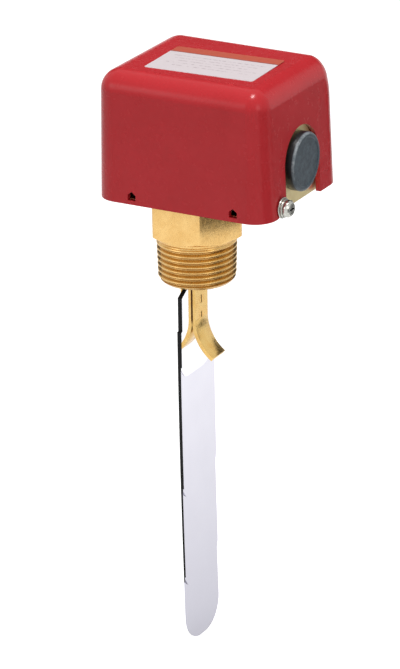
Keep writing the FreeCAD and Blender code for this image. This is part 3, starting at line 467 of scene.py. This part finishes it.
def turnedRows(angles, profile):
    # a ring of points for each radius and height
    return [[(radius * math.cos(angle), radius * math.sin(angle), z) for angle in angles]
            for radius, z in profile]


def chamferRow(angles, faceRadius, face, side, down, inward):
    # the turned cone of a face meets the flats in a curve
    slope = math.tan(math.radians(brassLook["chamferAngle"]))
    row = []
    for angle in angles:
        radius = hexRadius(angle) - inward
        rise = (hexRadius(angle) - faceRadius) * slope + down - inward * slope
        row.append((radius * math.cos(angle), radius * math.sin(angle), face - side * rise))
    return row


def threadRows(end, endRadius):
    # the rows climb with the helix, so each crest is one row
    look = brassLook
    rowStep = look["pitch"] / look["steps"]
    rowCount = int((-end + look["pitch"]) / rowStep) + 2
    rows = []
    for j in range(rowCount):
        row = []
        for i in range(look["columns"] + 1):
            turn = i / look["columns"]
            z = min(max(-j * rowStep + turn * look["pitch"], end), 0)
            radius = min(threadRadius(turn, z), endRadius + (z - end) * look["endSlope"])
            angle = 2 * math.pi * turn
            row.append((radius * math.cos(angle), radius * math.sin(angle), z))
        rows.append(row)
    return rows


def brassBody():
    look = brassLook
    low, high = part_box("brass_body")
    top = high.z / mm
    end = low.z / mm
    soft = look["edgeRound"]
    rim = look["counterboreEdge"]
    bore = look["bore"]
    faceRadius = hexFlat - look["faceInset"]
    boreTop = top - look["counterboreDepth"]
    endRadius = look["pipeRadius"] + end * look["taper"] - look["endChamfer"]
    angles = [2 * math.pi * i / look["columns"] for i in range(look["columns"])]
    rows = turnedRows(angles, ((bore, boreTop), (look["counterbore"], boreTop),
                               (look["counterbore"], top - rim), (look["counterbore"] + rim, top),
                               (faceRadius - soft, top)))
    rows.append(chamferRow(angles, faceRadius, top, 1, 0, soft * 0.5))
    rows.append(chamferRow(angles, faceRadius, top, 1, soft, 0))
    rows.append(chamferRow(angles, faceRadius, 0, -1, soft, 0))
    rows.append(chamferRow(angles, faceRadius, 0, -1, 0, soft * 0.5))
    rows += turnedRows(angles, ((faceRadius - soft, 0),))
    bm = bmesh.new()
    skinRows(bm, rows, True)
    skinRows(bm, threadRows(end, endRadius), False)
    skinRows(bm, turnedRows(angles, ((look["pipeRadius"], 0), (faceRadius - soft, 0))), True)
    skinRows(bm, turnedRows(angles, ((endRadius, end), (bore + look["boreEdge"], end),
                                     (bore, end + look["boreEdge"]), (bore, boreTop))), True)
    mesh = finishMesh(bm, "brassBody", 50)
    piece = addPiece("brassBody", mesh, [finish["threadedBrass"]], "base", "brass_body")


brassBody()
print("brass body made")


# paddle: mirror-bright spring leaves, their cut edges near black with painted shade
leafLook = {
    "thickness": 0.45, "pitch": 0.51, "front": 0.1, "width": 28.5, "waist": 26.8, "waistEnd": -38.6,
    "top": -19.9, "topWidth": 12.0, "shoulder": -24.2, "nearRound": 5.0, "farRound": 12.5,
    "setStart": -36.3, "setRadius": 4800.0, "tipRound": 12.0, "tipWear": 1.8, "brightAbove": 5,
    "waistStep": 0.05, "firstStep": 1.5, "rowStep": 3.0, "cornerSteps": 12, "columns": 8}
leafEnds = [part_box("paddle_leaf_" + str(i + 1))[0].z / mm for i in range(4)]


def leafHalf(z, end, roundness):
    # half width at one height, with the sloped shoulder and one lower corner
    look = leafLook
    if z >= look["shoulder"]:
        share = (look["top"] - z) / (look["top"] - look["shoulder"])
        return look["topWidth"] / 2 + share * (look["waist"] - look["topWidth"]) / 2
    if z > look["waistEnd"]:
        return look["waist"] / 2
    half = look["width"] / 2
    over = end + roundness - z
    if over > 0:
        half -= roundness - math.sqrt(max(roundness ** 2 - over ** 2, 0))
    return half


def leafHeights(end, nearRound):
    look = leafLook
    heights = {look["top"], look["shoulder"], look["waistEnd"] + look["waistStep"],
               look["waistEnd"] - look["waistStep"], end}
    z = look["top"] - look["firstStep"]
    while z > end + look["farRound"]:
        heights.add(round(z, 3))
        z -= look["rowStep"]
    for roundness in (nearRound, look["farRound"]):
        for i in range(look["cornerSteps"] + 1):
            turn = math.radians(90 / look["cornerSteps"] * i)
            heights.add(round(end + roundness * (1 - math.sin(turn)), 3))
    return sorted(heights, reverse=True)


def paddleLeaf(index):
    look = leafLook
    node = "paddle_leaf_" + str(index + 1)
    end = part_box(node)[0].z / mm
    nearRound = look["nearRound"]
    longest = index == 3
    if longest:
        end += look["tipWear"]
        nearRound = look["tipRound"]
    front = look["front"] - index * look["pitch"]
    fronts = []
    backs = []
    heights = leafHeights(end, nearRound)
    for z in heights:
        below = max(look["setStart"] - z, 0)
        lean = look["setRadius"] - math.sqrt(look["setRadius"] ** 2 - below ** 2)
        near = -leafHalf(z, end, nearRound)
        far = leafHalf(z, end, look["farRound"])
        ys = [near + (far - near) * i / look["columns"] for i in range(look["columns"] + 1)]
        fronts.append([(front + lean, y, z) for y in ys])
        backs.append([(front - look["thickness"] + lean, y, z) for y in ys])
    bm = bmesh.new()
    frontRows = skinRows(bm, fronts, False)
    backRows = skinRows(bm, backs, False)
    last = len(heights) - 1
    for k in range(last):
        # the painted shade stops short of the rounded corner, and on the longest leaf below the third leaf's
        # end
        bright = heights[k] < end + look["nearRound"]
        if longest and heights[k] < leafEnds[2] + look["brightAbove"]:
            bright = True
        for side in (0, -1):
            face = bm.faces.new((frontRows[k][side], frontRows[k + 1][side],
                                 backRows[k + 1][side], backRows[k][side]))
            face.material_index = 0 if bright else 1
    for k in (0, last):
        for i in range(look["columns"]):
            face = bm.faces.new((frontRows[k][i], frontRows[k][i + 1], backRows[k][i + 1], backRows[k][i]))
            face.material_index = 1 if k == 0 else 0
    name = "springLeaf" + str(index + 1)
    # the first leaf takes the lighter copy, a painted highlight
    face = finish["litLeaf"] if index == 0 else finish["springLeaf"]
    piece = addPiece(name, finishMesh(bm, name, 30), [face, finish["leafEdgeShade"]], "lever", node)


for i in range(4):
    paddleLeaf(i)
print("paddle leaves made")


# red cover: the drafted moulding, its entry end drawn in towards the top
coverLook = {
    "endStart": 38.0, "endLean": 1.6, "innerShare": 0.2, "rimRound": 0.5,
    "cornerReach": 14.0, "headReach": 0.4, "backStart": 0.3, "cornerIn": 3.0, "cornerDown": 2.0,
    "weldGap": 0.002, "flatAngle": 0.25, "sharpAngle": 35}


def leanIn(vertex, low, high, part):
    # the lean grows evenly from the rim to the top
    start = coverLook["endStart"] * mm
    share = (vertex.co.x - start) / (high.x - start)
    if share > 0:
        rise = (vertex.co.z - low.z) / (high.z - low.z)
        vertex.co.x -= coverLook["endLean"] * mm * share * rise * part


def roundCorner(vertex, high, part):
    # the far top corner is rounder than the near one
    reach = coverLook["cornerReach"] * mm
    across = (vertex.co.x - high.x + reach + coverLook["headReach"] * mm) / reach
    up = (vertex.co.z - high.z + reach) / reach
    back = (vertex.co.y / high.y + coverLook["backStart"]) / (1 + coverLook["backStart"])
    if across > 0 and up > 0 and back > 0:
        pull = across * up * back * back * part * mm
        vertex.co.x -= coverLook["cornerIn"] * pull
        vertex.co.z -= coverLook["cornerDown"] * pull


def redCover():
    low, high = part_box("cover")
    middle = (low + high) / 2
    bm = bmesh.new()
    bm.from_mesh(nodes["cover"].data)
    bmesh.ops.remove_doubles(bm, verts=bm.verts, dist=coverLook["weldGap"] * mm)
    bmesh.ops.recalc_face_normals(bm, faces=bm.faces)
    bm.normal_update()
    for vertex in bm.verts:
        # the inner face takes little of it, so it stays clear of the plate
        inner = vertex.normal.dot(vertex.co - middle) < 0
        part = coverLook["innerShare"] if inner else 1
        leanIn(vertex, low, high, part)
        roundCorner(vertex, high, part)
    # flat faces are joined first, so that no seam shows in the gloss
    flat = math.radians(coverLook["flatAngle"])
    bmesh.ops.dissolve_limit(bm, angle_limit=flat, verts=bm.verts, edges=bm.edges)
    mesh = smoothMesh(bm, "redCover", coverLook["sharpAngle"])
    piece = addPiece("redCover", mesh, [finish["redMoulding"]], "cover", "cover")
    roundEdges(piece, coverLook["rimRound"], 3)
    even = piece.modifiers.new("evenShading", "WEIGHTED_NORMAL")
    even.keep_sharp = True


# rating label: white card with a coloured band and plain rules
labelLook = {
    "length": 47.4, "width": 30.0, "middle": (11.0, -3.5), "turn": 2.0, "corner": 1.0, "cornerSteps": 6,
    "edgeHeight": 0.7, "topShrink": 0.999, "roughness": (0.30, 0.42), "specular": 0.25,
    "paper": (0.78, 0.70, 0.72), "band": (0.56, 0.11, 0.065), "bandWidth": 6.2, "bandEdge": 0.05,
    "line": (0.20, 0.05, 0.05), "lineWidth": 0.5, "ink": (0.20, 0.12, 0.14),
    "rules": (4.2, 1.2, -1.8, -4.8, -7.8), "ruleWidth": 0.5, "ruleEdge": 0.1,
    "ruleReach": 20.5, "ruleFade": 0.5, "ruleStagger": 2.1}


def labelMaterial():
    # the label's own mesh is centred on its middle, so these distances are from there
    look = labelLook
    material, tree, shader = startMaterial("labelCard")
    across = along(tree, "Y")
    reach = unsigned(tree, along(tree, "X"))
    fleck = spread(tree, noise(tree, 0.6, 3), 0.0, 1.0)
    colour = mixColour(tree, fleck, tuple(0.96 * c for c in look["paper"]), look["paper"])
    for number, rule in enumerate(look["rules"]):
        # faint plain rules of uneven length, with nothing written on them
        off = unsigned(tree, combine(tree, "SUBTRACT", across, rule * mm))
        halfRule = look["ruleWidth"] / 2
        onRule = step(tree, off, halfRule + look["ruleEdge"], halfRule - look["ruleEdge"])
        end = look["ruleReach"] - look["ruleStagger"] * (number % 3)
        inside = step(tree, reach, end, end - look["ruleFade"])
        patchy = spread(tree, noise(tree, 1.4, 2), 0.0, 0.6, 0.42, 0.58)
        mark = combine(tree, "MULTIPLY", combine(tree, "MULTIPLY", onRule, inside), patchy)
        colour = mixColour(tree, mark, colour, look["ink"])
    bandStart = look["width"] / 2 - look["bandWidth"]
    lineStart = bandStart - look["lineWidth"]
    onLine = step(tree, across, lineStart - look["bandEdge"], lineStart)
    onBand = step(tree, across, bandStart - look["bandEdge"], bandStart)
    colour = mixColour(tree, onLine, colour, look["line"])
    colour = mixColour(tree, onBand, colour, look["band"])
    feed(tree, colour, shader.inputs["Base Color"])
    feed(tree, spread(tree, noise(tree, 1.5), *look["roughness"]), shader.inputs["Roughness"])
    shader.inputs["Specular IOR Level"].default_value = look["specular"]
    relief(tree, shader, noise(tree, 0.4), 0.002)
    return material


def ratingLabel():
    # a thin card with rounded corners, stuck on a little askew
    look = labelLook
    low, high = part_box("rating_label")
    corner = look["corner"]
    halfLength = look["length"] / 2 - corner
    halfWidth = look["width"] / 2 - corner
    outline = []
    for quarter, (sideX, sideY) in enumerate(((1, 1), (-1, 1), (-1, -1), (1, -1))):
        for k in range(look["cornerSteps"] + 1):
            angle = math.radians(90 * quarter + 90 * k / look["cornerSteps"])
            outline.append((sideX * halfLength + corner * math.cos(angle),
                            sideY * halfWidth + corner * math.sin(angle)))
    thick = (high.z - low.z) / mm
    rows = [[(x, y, z) for x, y in outline] for z in (0, thick * look["edgeHeight"])]
    rows.append([(x * look["topShrink"], y * look["topShrink"], thick) for x, y in outline])
    bm = bmesh.new()
    made = skinRows(bm, rows, True)
    bm.faces.new(made[-1])
    bm.faces.new(made[0])
    mesh = finishMesh(bm, "ratingLabel", 30)
    piece = addPiece("ratingLabel", mesh, [labelMaterial()], "cover", "rating_label")
    piece.location = (look["middle"][0] * mm, look["middle"][1] * mm, low.z)
    piece.rotation_euler = (0, 0, math.radians(look["turn"]))


redCover()
ratingLabel()
print("cover and label made")


# range spring in a lower and an upper part, split part way up; both hang on the base
springLook = {
    "wireRadius": 0.6, "turns": 6.5, "endTurns": 1.0, "endPitch": 1.3, "splitTurn": 2.25,
    "nutTravel": 4.0, "armRise": 1.4, "steps": 32, "sides": 12}


def springHeight(turn, height):
    # closed turns at both ends, an even pitch between them
    ends = springLook["endTurns"]
    flat = springLook["endPitch"]
    if turn < ends:
        return turn * flat
    pitch = (height - 2 * ends * flat) / (springLook["turns"] - 2 * ends)
    if turn > springLook["turns"] - ends:
        return height - (springLook["turns"] - turn) * flat
    return ends * flat + (turn - ends) * pitch


def wireRing(middle, radius, angle, z):
    wire = springLook["wireRadius"]
    ring = []
    for k in range(springLook["sides"]):
        around = 2 * math.pi * k / springLook["sides"]
        reach = radius + wire * math.cos(around)
        ring.append((middle + reach * math.cos(angle), reach * math.sin(angle), z + wire * math.sin(around)))
    return ring


def springPart(name, first, last):
    # each part follows the same helix, from its first turn to its last
    low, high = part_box("range_spring")
    wire = springLook["wireRadius"]
    middle = (low.x + high.x) / 2 / mm
    radius = (high.x - low.x) / 2 / mm - wire
    start = low.z / mm + wire
    height = (high.z - low.z) / mm - 2 * wire
    steps = round((last - first) * springLook["steps"])
    rows = []
    for i in range(steps + 1):
        turn = first + (last - first) * i / steps
        rows.append(wireRing(middle, radius, 2 * math.pi * turn, start + springHeight(turn, height)))
    bm = bmesh.new()
    made = skinRows(bm, rows, True)
    if first == 0:
        bm.faces.new(made[0])
    if last == springLook["turns"]:
        bm.faces.new(made[-1])
    piece = addPiece(name, finishMesh(bm, name), [finish["springWire"]], "base", "range_spring")
    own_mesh(piece)


def rangeSpring():
    split = springLook["splitTurn"]
    springPart("rangeSpringLower", 0, split)
    springPart("rangeSpringUpper", split, springLook["turns"])


def bellowsSkin():
    # the flange, one millimetre thick, stays with the body, and the foot goes with the lever
    # the bellows as one welded skin on no body; its flange is one millimetre thick
    bm = bmesh.new()
    bm.from_mesh(nodes["bellows"].data)
    bmesh.ops.remove_doubles(bm, verts=bm.verts, dist=weldGap * mm)
    piece = addPiece("bellowsSkin", finishMesh(bm, "bellowsSkin"), [finish["bronzeBellows"]], None, "bellows")
    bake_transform(piece)


rangeSpring()
bellowsSkin()
print("spring and bellows made")


# widths of the soft edges on the solid parts
softEdges = {
    "upstream_wing": 0.25, "downstream_wing": 0.25, "lever_stem": 0.2, "clamp_nuts": 0.15,
    "base_plate": 0.15, "cover_screws": 0.2, "plain_washers": 0.12, "spring_washers": 0.15,
    "mechanism_frame": 0.15, "switch_bracket": 0.15, "crank_plate": 0.15, "lever_head": 0.25,
    "switch_case": 0.3, "switch_base": 0.25, "range_nut": 0.2, "conduit_grommet": 0.2}


def softenEdges(node, width):
    weld = nodes[node].modifiers.new("weld", "WELD")
    weld.merge_threshold = weldGap * mm
    roundEdges(nodes[node], width, 2).harden_normals = True


for node, width in softEdges.items():
    softenEdges(node, width)
print("edges softened:", len(softEdges))


# floor and surroundings: drop is how far the floor lies below the paddle
stageLook = {
    "drop": 30, "size": 6000, "colour": (0.86, 0.86, 0.86), "glow": 0.75, "glossyGlow": 0.55,
    "white": 1.0, "fill": 0.24}


def seenDirectly(tree):
    # 1 for what the camera sees, also by way of metal or glass
    rays = tree.nodes.new("ShaderNodeLightPath")
    seen = combine(tree, "MAXIMUM", rays.outputs["Is Camera Ray"], rays.outputs["Is Glossy Ray"])
    return combine(tree, "MAXIMUM", seen, rays.outputs["Is Transmission Ray"])


def addSheet(name, corners, material):
    mesh = bpy.data.meshes.new(name)
    mesh.from_pydata([tuple(c * mm for c in corner) for corner in corners], [], [(0, 1, 2, 3)])
    mesh.materials.append(material)
    sheet = bpy.data.objects.new(name, mesh)
    scene.collection.objects.link(sheet)
    return sheet


def buildFloor():
    material, tree, shader = startMaterial("floorPaint")
    tone = spread(tree, noise(tree, 40, 3), 0.0, 1.0)
    dull = tuple(0.99 * c for c in stageLook["colour"])
    feed(tree, mixColour(tree, tone, stageLook["colour"], dull), shader.inputs["Base Color"])
    shader.inputs["Roughness"].default_value = 0.9
    rays = tree.nodes.new("ShaderNodeLightPath")
    mirrored = combine(tree, "MAXIMUM", rays.outputs["Is Glossy Ray"], rays.outputs["Is Transmission Ray"])
    glow = combine(tree, "MAXIMUM",
                   combine(tree, "MULTIPLY", rays.outputs["Is Camera Ray"], stageLook["glow"]),
                   combine(tree, "MULTIPLY", mirrored, stageLook["glossyGlow"]))
    shader.inputs["Emission Color"].default_value = (1, 1, 1, 1)
    feed(tree, glow, shader.inputs["Emission Strength"])
    level = cadBox[0].z / mm - stageLook["drop"]
    half = stageLook["size"] / 2
    corners = ((-half, -half, level), (half, -half, level), (half, half, level), (-half, half, level))
    floor = addSheet("studioFloor", corners, material)


def buildWorld():
    world = bpy.data.worlds.new("studio")
    world.use_nodes = True
    tree = world.node_tree
    tree.nodes.clear()
    fill = tree.nodes.new("ShaderNodeBackground")
    fill.inputs["Color"].default_value = (1, 1, 1, 1)
    fill.inputs["Strength"].default_value = stageLook["fill"]
    white = tree.nodes.new("ShaderNodeBackground")
    white.inputs["Color"].default_value = (1, 1, 1, 1)
    white.inputs["Strength"].default_value = stageLook["white"]
    mix = tree.nodes.new("ShaderNodeMixShader")
    feed(tree, seenDirectly(tree), mix.inputs["Fac"])
    feed(tree, fill.outputs["Background"], mix.inputs[1])
    feed(tree, white.outputs["Background"], mix.inputs[2])
    out = tree.nodes.new("ShaderNodeOutputWorld")
    feed(tree, mix.outputs["Shader"], out.inputs["Surface"])
    scene.world = world


# round lamps, all turned to the same point on the brass body
lampAim = (10, 0, 20)
lamps = {
    "overhead": {"at": (160, -160, 1300), "size": 360, "power": 12.3},
    "frontLeft": {"at": (-900, -1100, 550), "size": 700, "power": 2.6},
    "rightSide": {"at": (1200, -500, 450), "size": 600, "power": 1.8}}


def buildLamps():
    for name, lamp in lamps.items():
        data = bpy.data.lights.new(name, "AREA")
        data.shape = "DISK"
        data.size = lamp["size"] * mm
        data.energy = lamp["power"]
        light = bpy.data.objects.new(name, data)
        light.location = Vector(lamp["at"]) * mm
        facing = Vector(lampAim) * mm - light.location
        light.rotation_euler = facing.to_track_quat("-Z", "Y").to_euler()
        scene.collection.objects.link(light)


# grey studio flags, seen only in what is glossy: one darkens the brass's right flank, one stands
# behind the red top, and one lies on the floor behind and keeps its white out of the end wall
flags = {
    "flagRight": {"start": (420, -190, -200), "end": (420, 200, 60), "grey": 0.30},
    "flagHigh": {"start": (-1700, 900, 200), "end": (500, 1500, 1300), "grey": 0.10},
    "flagBehind": {"start": (300, 480, -205), "end": (900, 1100, -205), "grey": 0.10}}


def flagCorners(start, end):
    if start[2] == end[2]:
        return (start, (end[0], start[1], start[2]), end, (start[0], end[1], end[2]))  # lying
    return (start, (end[0], end[1], start[2]), end, (start[0], start[1], end[2]))  # standing


def buildFlags():
    for name, flag in flags.items():
        material, tree, shader = startMaterial(name + "Cloth")
        feed(tree, spread(tree, noise(tree, 30, 2), flag["grey"] * 0.9, flag["grey"]),
             shader.inputs["Base Color"])
        shader.inputs["Roughness"].default_value = 0.9
        card = addSheet(name, flagCorners(flag["start"], flag["end"]), material)
        card.visible_camera = False
        card.visible_diffuse = False
        card.visible_shadow = False


# aimRight and aimDown move the camera's aim away from the thread's shoulder
cameraLook = {
    "azimuth": 28.8, "elevation": 20.0, "roll": 0.8, "distance": 1500, "lens": 199.6, "sensor": 36,
    "aimRight": 1.3, "aimDown": 41.3, "clipEnd": 50000}


def buildCamera():
    look = cameraLook
    turn = math.radians(look["azimuth"])
    lift = math.radians(look["elevation"])
    roll = math.radians(look["roll"])
    back = Vector((math.sin(turn) * math.cos(lift), -math.cos(turn) * math.cos(lift), math.sin(lift)))
    right = Vector((math.cos(turn), math.sin(turn), 0))
    up = back.cross(right)
    stand = back * look["distance"] * mm
    leanRight = right * math.cos(roll) - up * math.sin(roll)
    leanUp = right * math.sin(roll) + up * math.cos(roll)
    aim = (leanRight * look["aimRight"] - leanUp * look["aimDown"]) * mm
    axis = (stand - aim).normalized()
    side = leanUp.cross(axis).normalized()
    top = axis.cross(side)
    data = bpy.data.cameras.new("camera")
    data.lens = look["lens"]
    data.sensor_width = look["sensor"]
    data.clip_end = look["clipEnd"] * mm
    camera = bpy.data.objects.new("camera", data)
    camera.matrix_world = Matrix((
        (side.x, top.x, axis.x, stand.x),
        (side.y, top.y, axis.y, stand.y),
        (side.z, top.z, axis.z, stand.z),
        (0, 0, 0, 1)))
    scene.collection.objects.link(camera)
    scene.camera = camera


buildFloor()
buildFlags()
buildWorld()
buildLamps()
buildCamera()
scene.view_settings.view_transform = "Standard"
print("stage made")
